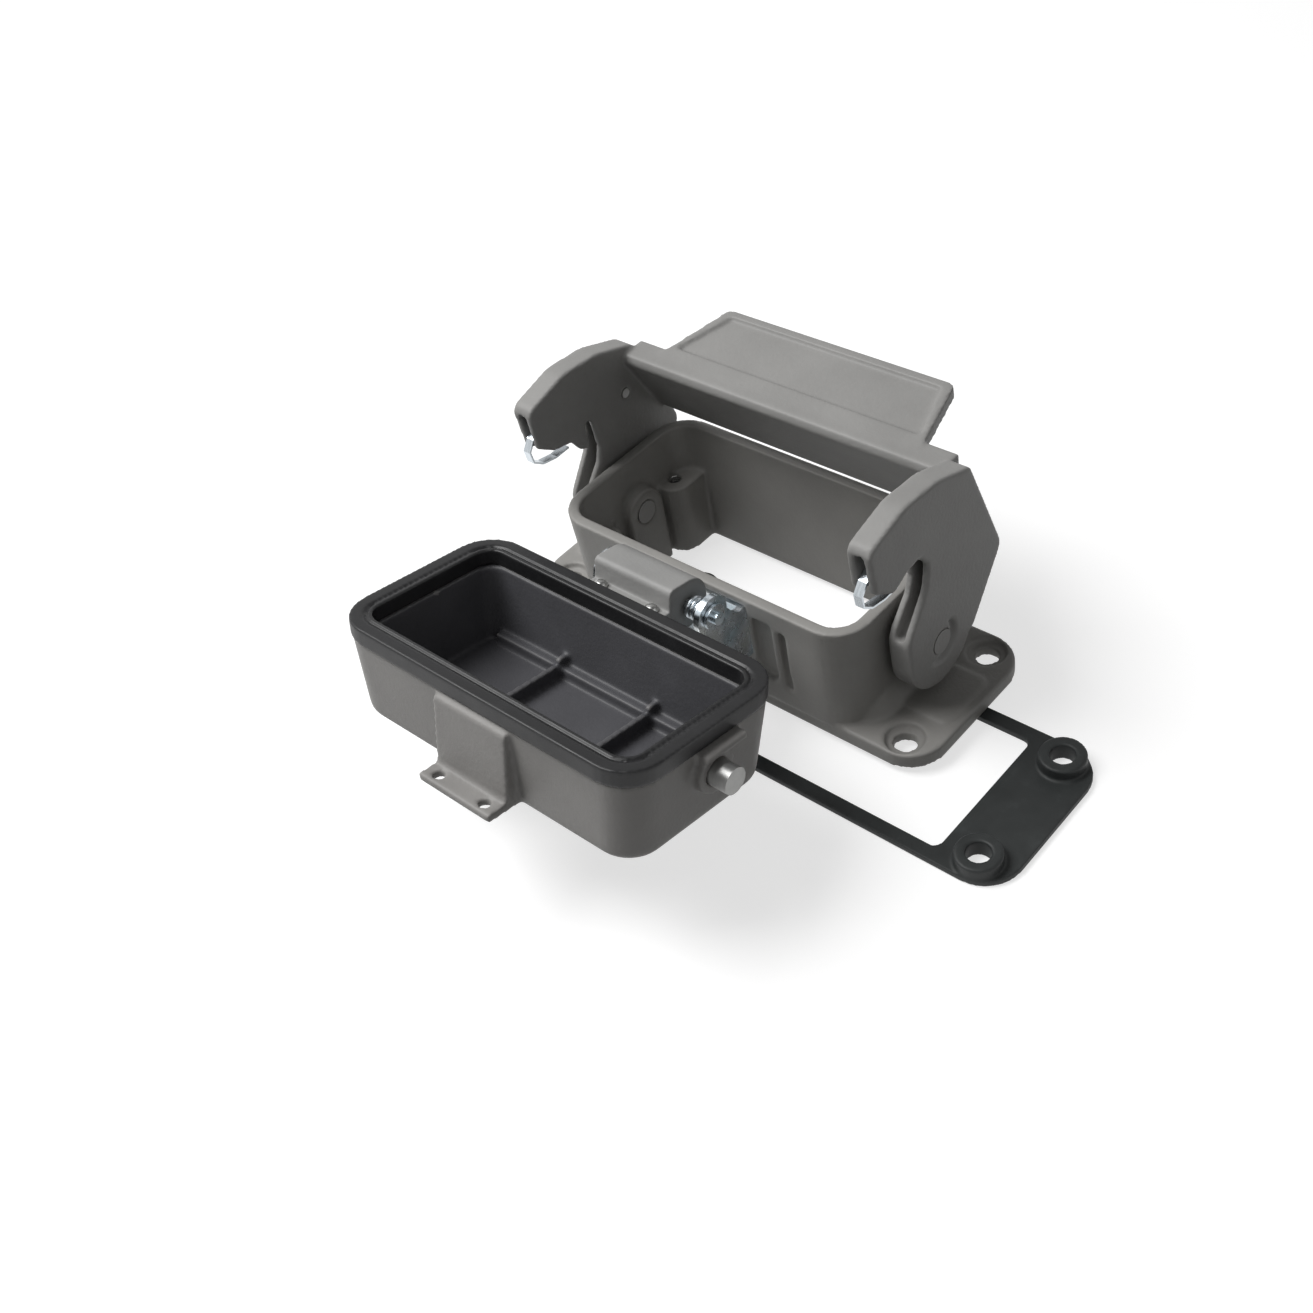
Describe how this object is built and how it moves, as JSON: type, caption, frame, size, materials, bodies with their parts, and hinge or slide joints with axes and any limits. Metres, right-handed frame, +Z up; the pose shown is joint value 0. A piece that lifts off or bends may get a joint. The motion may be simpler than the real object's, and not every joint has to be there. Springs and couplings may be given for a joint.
{
  "type": "heavy duty rectangular connector",
  "caption": "Panel-mount housing of a rectangular multi-pole connector with a swing locking lever, a hinged protective cover and a loose flange gasket.",
  "frame": {"origin": "centre of the four flange holes on the underside of the mounting flange", "axes": "+X along the flange, +Y towards the lever side, +Z up out of the panel"},
  "size_m": [0.149, 0.1331, 0.0647],
  "materials": {
    "housing_coat": "grey powder coat, fine orange peel, semi-matt",
    "lever_coat": "grey powder coat, semi-matt",
    "cover_coat": "darker grey powder coat, semi-matt",
    "block_coat": "grey powder coat, semi-matt",
    "gasket_rubber": "matt black sheet rubber",
    "seal_rubber": "smooth black rubber with a faint sheen",
    "pivot_steel": "dull turned steel",
    "washer_steel": "plain steel",
    "spring_steel": "bright spring steel",
    "zinc_sheet": "bright zinc-plated sheet with a bluish tone",
    "zinc_pin": "zinc-plated steel",
    "rivet_metal": "plain rivet metal"
  },
  "bodies": {
    "housing_body": {"housing": "housing_coat", "flange_gasket": "gasket_rubber", "lever_pivot_left": "pivot_steel", "lever_pivot_right": "pivot_steel", "pivot_washer_left": "washer_steel", "pivot_washer_right": "washer_steel", "hinge_bracket": "zinc_sheet", "hinge_pin": "zinc_pin", "hinge_pin_clip": "spring_steel", "hinge_spring": "spring_steel", "bracket_rivets": "rivet_metal"},
    "lever_body": {"lever": "lever_coat", "lever_spring_left": "spring_steel", "lever_spring_right": "spring_steel", "lever_spring_pin_left": "pivot_steel", "lever_spring_pin_right": "pivot_steel"},
    "cover_body": {"cover": "cover_coat", "cover_seal": "seal_rubber", "cover_peg_left": "pivot_steel", "cover_peg_right": "pivot_steel", "hinge_block": "block_coat", "block_rivets": "rivet_metal"}
  },
  "joints": [
    {"name": "lever_swing", "type": "hinge", "parent": "housing_body", "child": "lever_body", "pos_m": [0, 0.001, 0.0185], "axis": [-1, 0, 0], "range_deg": [0, 55]},
    {"name": "cover_swing", "type": "hinge", "parent": "housing_body", "child": "cover_body", "pos_m": [0, -0.0325, 0.0358], "axis": [-1, 0, 0], "range_deg": [0, 104]}
  ]
}
